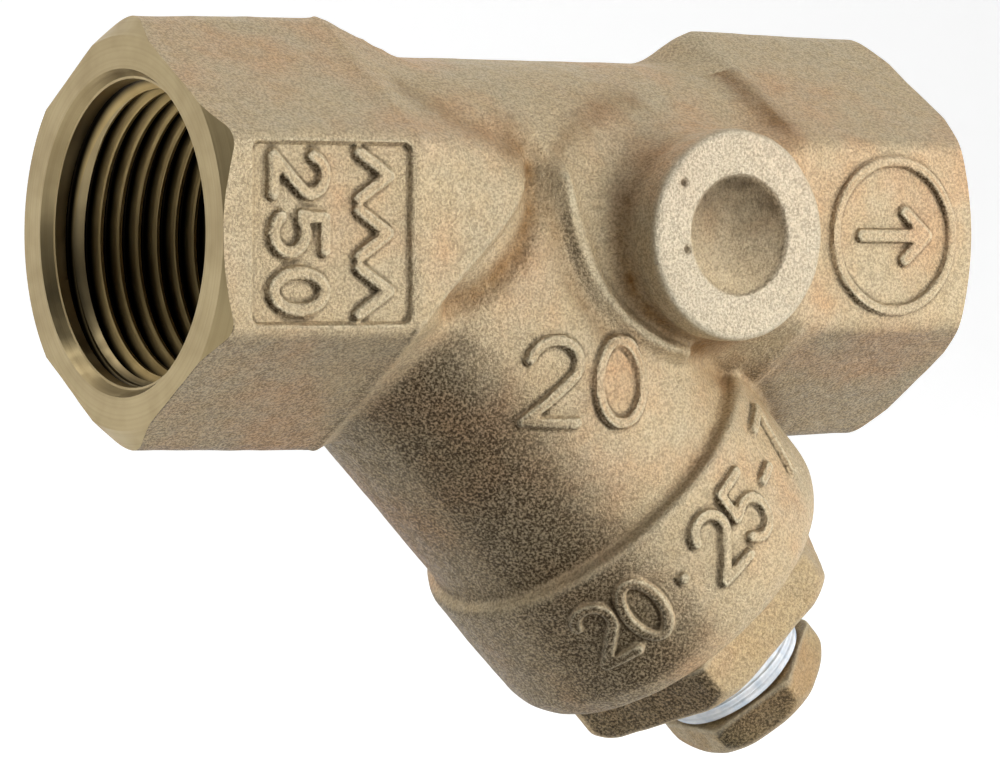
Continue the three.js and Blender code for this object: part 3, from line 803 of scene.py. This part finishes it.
def wires(centres, radius, closed, sides=6):
    """Tubes round lines of centre points given as (lines, points, 3)."""
    lines, count, _ = centres.shape
    ahead = np.roll(centres, -1, 1) - np.roll(centres, 1, 1)
    if not closed:
        ahead[:, 0] = centres[:, 1] - centres[:, 0]
        ahead[:, -1] = centres[:, -1] - centres[:, -2]
    ahead /= np.linalg.norm(ahead, axis=2, keepdims=True)
    out = centres * [1, 0, 1]
    out /= np.linalg.norm(out, axis=2, keepdims=True)
    side = np.cross(ahead, out)
    side /= np.linalg.norm(side, axis=2, keepdims=True)
    up = np.cross(side, ahead)
    a = np.arange(sides) * TAU / sides
    ring = radius * (np.cos(a)[:, None] * side[:, :, None] + np.sin(a)[:, None] * up[:, :, None])
    points = (centres[:, :, None] + ring).reshape(-1, 3)
    k = np.arange(sides)
    n = (k + 1) % sides
    faces = []
    for line in range(lines):
        base = line * count * sides
        for i in range(count if closed else count - 1):
            p, q = base + i * sides, base + (i + 1) % count * sides
            faces.append(np.stack([p + k, p + n, q + n, q + k], 1))
    return points, np.vstack(faces)


def make_screen():
    """Plain-woven wire: every wire weaves over and under those that cross it."""
    low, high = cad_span("screen_mesh")
    ups = 46
    rings = 30
    per = 4
    margin = 0.4
    a = np.arange(ups * per) * TAU / (ups * per)
    hoops = []
    for j in range(rings):
        y = low + margin + (high - low - 2 * margin) * j / (rings - 1)
        r = SCREEN_R + WEAVE * np.cos(a * ups / 2 + math.pi * j)
        hoops.append(np.stack([r * np.cos(a), np.full_like(a, y), -r * np.sin(a)], 1))
    uprights = []
    t = np.linspace(0, rings - 1, rings * per)
    for i in range(ups):
        ang = i * TAU / ups
        y = low + margin + (high - low - 2 * margin) * t / (rings - 1)
        r = SCREEN_R - WEAVE * np.cos(math.pi * (t + i))
        uprights.append(np.stack([r * math.cos(ang), y, -r * math.sin(ang)], 1))
    p1, f1 = wires(np.array(hoops), WIRE_R, True)
    p2, f2 = wires(np.array(uprights), WIRE_R, False)
    caps = end_caps(len(uprights), rings * per, 6)
    points = placed(np.vstack([p1, p2]), LEG)
    faces = np.vstack([f1, f2 + len(p1)])
    screen = mesh_object("woven_screen", points, faces, MATERIALS["steel"])
    close_ends(screen, caps, len(p1))
    smooth(screen, 50)
    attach(screen, "screen_carriage")
    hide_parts("screen_mesh")


def end_caps(lines, count, sides):
    """The vertex loops that close each upright wire's two ends."""
    loops = []
    for line in range(lines):
        for i in (0, count - 1):
            loops.append([line * count * sides + i * sides + k for k in range(sides)])
    return loops


def close_ends(obj, loops, offset):
    bm = bmesh.new()
    bm.from_mesh(obj.data)
    bm.verts.ensure_lookup_table()
    for loop in loops:
        bm.faces.new([bm.verts[offset + v] for v in loop])
    bmesh.ops.recalc_face_normals(bm, faces=bm.faces)
    bm.to_mesh(obj.data)
    bm.free()


def make_band(node, name):
    """A rolled strip with softened lips, a lapped seam and a row of spot welds."""
    low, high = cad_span(node)
    inner, outer = BAND_INNER_R, BAND_R
    rows = 24
    profile = [(inner, high - 0.1), (inner, low + 0.1), (inner + 0.1, low)]
    for i in range(rows):
        h = low + 0.05 + (high - low - 0.1) * i / (rows - 1)
        profile.append((outer - 0.1 * (i in (0, rows - 1)), h))
    profile.append((inner + 0.1, high))
    middle = (low + high) / 2

    def wobble(a, r, h):
        seam = 0.05 * np.clip((0.16 - np.abs(a - 2.0)) / 0.03, 0, 1)
        spot = (np.mod(a, TAU / 12) - TAU / 24) * outer
        dent = 0.12 * np.exp(-(spot ** 2 + (h - middle) ** 2) / 0.5)
        return np.where(r > inner + 0.2, r + seam - dent, r), h

    band = turned(name, profile, LEG, MATERIALS["band"], 240, wobble)
    smooth(band, 50)
    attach(band, "screen_carriage")
    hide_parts(node)


# ------------------------------------ materials
class Nodes:
    """A small builder for one material's node tree."""

    def __init__(self, name, metallic, roughness):
        self.material = bpy.data.materials.new(name)
        self.material.use_nodes = True
        self.tree = self.material.node_tree
        self.shader = self.tree.nodes["Principled BSDF"]
        self.shader.inputs["Metallic"].default_value = metallic
        self.shader.inputs["Roughness"].default_value = roughness
        self.object = self.add("ShaderNodeTexCoord").outputs["Object"]

    def add(self, kind, **settings):
        node = self.tree.nodes.new(kind)
        for key, value in settings.items():
            setattr(node, key, value)
        return node

    def wire(self, source, target):
        if isinstance(source, (int, float, tuple)):
            target.default_value = source
        else:
            self.tree.links.new(source, target)

    def noise(self, scale, detail=3.0, rough=0.55, vector=None, kind="ShaderNodeTexNoise"):
        node = self.add(kind)
        self.wire(vector or self.object, node.inputs["Vector"])
        node.inputs["Scale"].default_value = scale
        if "Detail" in node.inputs:
            node.inputs["Detail"].default_value = detail
            node.inputs["Roughness"].default_value = rough
        return node.outputs[0]

    def attribute(self, name):
        return self.add("ShaderNodeAttribute", attribute_name=name).outputs["Fac"]

    def ramp(self, value, low, high, start=0.0, end=1.0):
        node = self.add("ShaderNodeMapRange", interpolation_type="SMOOTHSTEP")
        self.wire(value, node.inputs["Value"])
        set_range(node, low, high, start, end)
        return node.outputs["Result"]

    def math(self, operation, a, b=0.0):
        node = self.add("ShaderNodeMath", operation=operation)
        self.wire(a, node.inputs[0])
        self.wire(b, node.inputs[1])
        return node.outputs[0]

    def mix(self, factor, a, b, blend="MIX"):
        node = self.add("ShaderNodeMix", data_type="RGBA", blend_type=blend)
        self.wire(factor, node.inputs["Factor"])
        self.wire(a, node.inputs[6])
        self.wire(b, node.inputs[7])
        return node.outputs[2]

    def bump(self, height, distance, strength=1.0, normal=None):
        node = self.add("ShaderNodeBump")
        node.inputs["Distance"].default_value = distance
        node.inputs["Strength"].default_value = strength
        self.wire(height, node.inputs["Height"])
        if normal:
            self.wire(normal, node.inputs["Normal"])
        return node.outputs["Normal"]

    def finish(self, colour, roughness=None, normal=None):
        self.wire(colour, self.shader.inputs["Base Color"])
        if roughness is not None:
            self.wire(roughness, self.shader.inputs["Roughness"])
        if normal is not None:
            self.wire(normal, self.shader.inputs["Normal"])
        return self.material


def set_range(node, low, high, start, end):
    for key, number in zip(("From Min", "From Max", "To Min", "To Max"), (low, high, start, end)):
        node.inputs[key].default_value = number


def rgb(r, g, b):
    """An sRGB colour, 0 to 255, as a linear RGBA tuple."""
    def linear(v):
        v /= 255
        return v / 12.92 if v <= 0.04045 else ((v + 0.055) / 1.055) ** 2.4
    return (linear(r), linear(g), linear(b), 1.0)


def cast_bronze(name, base, warm, grey, stain, dark):
    """Blasted bronze: sandy grain, warm patches, brown left in the hollows, painted shade in creases, in
    the boss's dimple and on faces turned down and to the front left, and bright edges.
    """
    n = Nodes(name, 0.85, 0.5)
    patches = n.ramp(n.noise(75, 3, 0.6), 0.42, 0.72, 0.0, 0.7)
    clouds = n.ramp(n.noise(190, 4, 0.65), 0.35, 0.7)
    colour = n.mix(patches, base, warm)
    colour = n.mix(n.math("MULTIPLY", clouds, 0.35), colour, grey)
    blotch = n.ramp(n.noise(420, 4, 0.7), 0.3, 0.75, 0.55, 1.0)
    deep = n.ramp(n.attribute("deep"), 0.08, 0.36, 0.0, 0.7)
    hollow = n.ramp(n.attribute("hollow"), 0.06, 0.34, 0.0, 0.8)
    colour = n.mix(n.math("MULTIPLY", n.math("MAXIMUM", hollow, deep), blotch), colour, stain)
    colour = n.mix(n.math("MULTIPLY", n.attribute("stain"), blotch), colour, stain)
    # painted shade: the tightest creases painted dark
    crevice = n.ramp(n.attribute("crevice"), 0.08, 0.34, 0.0, 0.75)
    colour = n.mix(crevice, colour, dark)
    colour = n.mix(n.ramp(n.attribute("crevice"), -0.3, -0.08, 0.75, 0.0), colour, rgb(198, 188, 162))
    colour = n.mix(n.math("MULTIPLY", n.attribute("pale"), 0.8), colour, rgb(200, 190, 170))
    # painted shade in the boss's dimple, patchy
    dimple = n.math("MULTIPLY", n.attribute("dimple"), n.ramp(n.noise(260, 4, 0.7), 0.3, 0.7, 0.7, 1.0))
    colour = n.mix(dimple, colour, dark)
    grain = n.noise(4300, 3, 0.7)
    # painted shade: dark on faces turned down and to the front left, broken up by the grain
    painted_shade = n.math("MULTIPLY", n.attribute("painted_shade"), n.ramp(grain, 0.4, 0.64, 0.96, 0.5))
    colour = n.mix(painted_shade, colour, dark)
    specks = n.ramp(grain, 0.36, 0.62)
    shade = n.mix(specks, (0.74, 0.71, 0.67, 1), (1.2, 1.18, 1.14, 1))
    colour = n.mix(1.0, colour, shade, "MULTIPLY")
    edge = n.ramp(n.attribute("hollow"), -0.3, -0.1, 0.45, 0.0)
    colour = n.mix(edge, colour, grey)
    rough = n.ramp(n.noise(900, 3), 0.3, 0.7, 0.42, 0.6)
    normal = n.bump(n.noise(1500, 5, 0.75), 0.0005, 0.6)
    normal = n.bump(grain, 0.0002, 0.7, normal)
    return n.finish(colour, rough, normal)


def turned_bronze(name, base, dark, valley_shade):
    """Machined bronze with faint turning rings about the run, and painted shade in the thread valleys."""
    n = Nodes(name, 0.95, 0.3)
    split = n.add("ShaderNodeSeparateXYZ")
    n.wire(n.object, split.inputs[0])
    y2 = n.math("MULTIPLY", split.outputs[1], split.outputs[1])
    z2 = n.math("MULTIPLY", split.outputs[2], split.outputs[2])
    line = n.add("ShaderNodeCombineXYZ")
    n.wire(n.math("SQRT", n.math("ADD", y2, z2)), line.inputs[0])
    rings = n.noise(2600, 3, 0.6, line.outputs[0])
    colour = n.mix(n.ramp(n.noise(160, 3), 0.3, 0.8, 0.0, 0.5), base, dark)
    colour = n.mix(n.ramp(rings, 0.35, 0.7, 0.0, 0.35), colour, dark)
    # painted shade: thread valleys painted near black
    colour = n.mix(n.ramp(n.attribute("thread_valley_shade"), 0.25, 0.8), colour, valley_shade)
    normal = n.bump(rings, 0.00012, 0.4)
    return n.finish(colour, n.ramp(n.noise(500, 4), 0.3, 0.7, 0.28, 0.46), normal)


def plain(name, base, dark, metallic, rough, scale=900, depth=0.0001):
    n = Nodes(name, metallic, rough)
    cloud = n.ramp(n.noise(scale, 4, 0.6), 0.3, 0.75)
    normal = n.bump(n.noise(scale * 2, 4), depth, 0.5)
    gloss = n.ramp(n.noise(scale * 0.6), 0.3, 0.7, rough - 0.06, rough + 0.08)
    return n.finish(n.mix(cloud, base, dark), gloss, normal)


# the last colour of each cast bronze is its painted shade; the last of each machined bronze is the painted
# shade of its thread valleys
MATERIALS = {
    "cast": cast_bronze("cast_bronze", rgb(190, 173, 142), rgb(200, 160, 122), rgb(184, 176, 154),
                        rgb(118, 80, 24), rgb(56, 43, 24)),
    "cap": cast_bronze("cap_bronze", rgb(182, 162, 126), rgb(192, 154, 116), rgb(174, 164, 142),
                       rgb(96, 70, 32), rgb(54, 44, 28)),
    "plug": cast_bronze("plug_bronze", rgb(168, 150, 114), rgb(176, 144, 106), rgb(164, 156, 136),
                        rgb(84, 62, 34), rgb(48, 40, 28)),
    "machined": turned_bronze("machined_bronze", rgb(180, 162, 122), rgb(142, 122, 84), rgb(30, 24, 14)),
    "thread": turned_bronze("thread_bronze", rgb(196, 172, 120), rgb(150, 126, 78), rgb(24, 18, 9)),
    "tape": plain("ptfe_tape", rgb(216, 219, 222), rgb(176, 188, 200), 0.0, 0.45),
    "gasket": plain("ptfe_ring", rgb(232, 234, 234), rgb(210, 214, 214), 0.0, 0.5, 500),
    "steel": plain("screen_steel", rgb(186, 188, 190), rgb(150, 152, 156), 1.0, 0.3),
    "band": plain("band_steel", rgb(184, 186, 188), rgb(158, 160, 164), 1.0, 0.32, 600),
}


# ------------------------------------ stage, light, camera
ROOM_FRONT, ROOM_BACK = 0.14, 0.95


def make_camera():
    """At the photograph's angle: a long lens, 34.5 degrees round towards the inlet."""
    azimuth, elevation, roll = (math.radians(v) for v in (34.54, 1.61, 0.11))
    distance = 422.8
    back = Vector((-math.sin(azimuth) * math.cos(elevation), -math.cos(azimuth) * math.cos(elevation),
                   math.sin(elevation)))
    data = bpy.data.cameras.new("camera")
    data.lens, data.sensor_width = 174.85, 36
    camera = bpy.data.objects.new("camera", data)
    bpy.context.scene.collection.objects.link(camera)
    turn = back.to_track_quat("Z", "Y").to_matrix().to_4x4() @ Matrix.Rotation(roll, 4, "Z")
    target = Vector((-0.75, 0, -13.49))
    camera.matrix_world = Matrix.Translation((target + back * distance) * MM) @ turn
    bpy.context.scene.camera = camera


def softbox(name, place, width, height, brightness, aim=(0, 0, -0.01)):
    """A rectangular light, as bright as its surface's radiance, aimed at the strainer."""
    data = bpy.data.lights.new(name, "AREA")
    data.shape, data.size, data.size_y = "RECTANGLE", width, height
    data.energy = brightness * math.pi * width * height
    lamp = bpy.data.objects.new(name, data)
    bpy.context.scene.collection.objects.link(lamp)
    lamp.location = place
    lamp.rotation_euler = (Vector(aim) - Vector(place)).to_track_quat("-Z", "Y").to_euler()


def make_sweep():
    """White paper, low enough for the cap and plug to be drawn right out above it, glowing as painted light
    more towards the back.
    """
    paper = Nodes("sweep_paper", 0.0, 0.9)
    tint = paper.mix(paper.noise(12), rgb(238, 238, 238), rgb(234, 234, 234))
    split = paper.add("ShaderNodeSeparateXYZ")
    paper.wire(paper.object, split.inputs[0])
    paper.finish(tint)
    paper.shader.inputs["Emission Color"].default_value = (1, 1, 1, 1)
    # painted light: the paper glows, from none in front to 0.45 towards the back
    paper.wire(paper.ramp(split.outputs[1], -0.2, 0.3, 0.0, 0.45), paper.shader.inputs["Emission Strength"])
    drawn_out = sum(j["range_m"][1] * -j["axis"][2] for j in JOINTS.values() if j["type"] == "slide")
    low = (CAD_BOX[0].z - drawn_out) / MM - 2
    turn, radius, wall, width = 900, 400, 1500, 2600
    outline = [(-1500, low), (turn, low)]
    outline += [(turn + radius * math.sin(a), low + radius * (1 - math.cos(a)))
                for a in np.linspace(0, math.pi / 2, 16)[1:]]
    outline.append((turn + radius, low + wall))
    points = [(side * width, y, z) for side in (-1, 1) for y, z in outline]
    n = len(outline)
    faces = [(i, i + 1, n + i + 1, n + i) for i in range(n - 1)]
    sweep = mesh_object("sweep", np.array(points) * MM, faces, paper.material)
    sweep.data.shade_smooth()


def make_studio():
    """A white wall of light behind, a darker room in front, and three softboxes."""
    world = bpy.data.worlds.new("studio")
    bpy.context.scene.world = world
    world.use_nodes = True
    nodes, links = world.node_tree.nodes, world.node_tree.links
    direction = nodes.new("ShaderNodeTexCoord")
    split = nodes.new("ShaderNodeSeparateXYZ")
    links.new(direction.outputs["Generated"], split.inputs[0])
    share = nodes.new("ShaderNodeMapRange")
    share.interpolation_type = "SMOOTHSTEP"
    links.new(split.outputs[1], share.inputs["Value"])
    set_range(share, -0.35, 0.35, ROOM_FRONT, ROOM_BACK)
    overhead = nodes.new("ShaderNodeMapRange")
    links.new(split.outputs[2], overhead.inputs["Value"])
    set_range(overhead, 0.25, 0.85, 0.92, 0.3)
    strength = nodes.new("ShaderNodeMath")
    strength.operation = "MULTIPLY"
    links.new(share.outputs["Result"], strength.inputs[0])
    links.new(overhead.outputs["Result"], strength.inputs[1])
    links.new(strength.outputs[0], nodes["Background"].inputs["Strength"])
    nodes["Background"].inputs["Color"].default_value = (1, 1, 1, 1)
    softbox("key_box", (0.30, -0.46, 0.08), 0.36, 0.30, 8.6)
    softbox("right_box", (0.52, -0.16, 0.16), 0.30, 0.30, 2.2)
    softbox("wall_box", (0.0, 0.45, 1.50), 2.40, 1.00, 1.8, (0.0, 1.15, 0.0))


make_camera()
make_body()
make_cap()
make_plug()
make_tape()
make_gasket()
make_screen()
make_band("screen_upper_band", "upper_band")
make_band("screen_lower_band", "lower_band")
make_sweep()
make_studio()
bpy.context.scene.view_settings.view_transform = "Standard"
